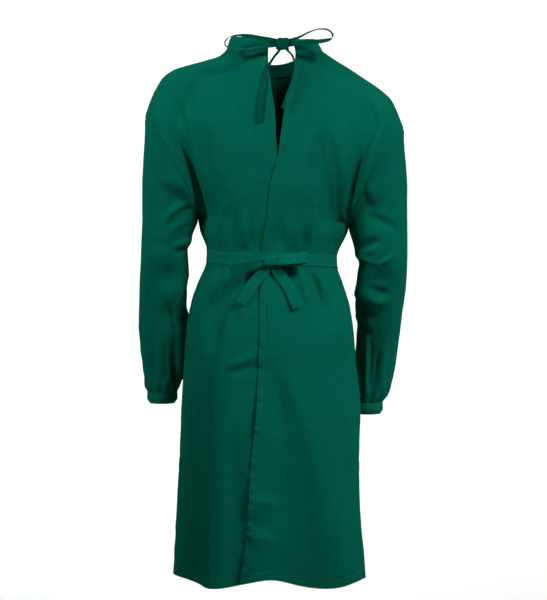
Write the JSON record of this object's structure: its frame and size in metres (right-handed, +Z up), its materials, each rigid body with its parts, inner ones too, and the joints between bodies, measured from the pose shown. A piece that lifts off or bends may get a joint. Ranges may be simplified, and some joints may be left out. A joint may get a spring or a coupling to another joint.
{
  "type": "surgical gown",
  "caption": "Long-sleeved cloth gown in its worn shape, open down the back, with gathered cuffs, a neckband tied in a bow and a belt tied at the waist.",
  "frame": {"origin": "middle of the neckline, level with the places where the shoulders hold the gown up", "axes": "+X towards the wearer's right, -Y towards the gown's back, +Z up"},
  "size_m": [0.5791, 0.3177, 1.1596],
  "materials": {
    "cloth": "plain weave, matte",
    "band_cloth": "doubled plain weave, matte",
    "tape": "narrow folded tape, matte"
  },
  "bodies": {
    "root": {"front_panel": "cloth", "back_left": "cloth", "back_right": "cloth", "sleeve_left": "cloth", "sleeve_right": "cloth", "cuff_left": "band_cloth", "cuff_right": "band_cloth", "neckband": "band_cloth", "waist_belt": "band_cloth", "waist_knot": "band_cloth", "waist_loop_left": "band_cloth", "waist_loop_right": "band_cloth", "waist_tail_left": "band_cloth", "waist_tail_right": "band_cloth", "neck_knot": "tape", "neck_loop_left": "tape", "neck_loop_right": "tape", "neck_tail_left": "tape", "neck_tail_right": "tape", "neck_tie_left": "tape", "neck_tie_right": "tape"}
  },
  "joints": []
}
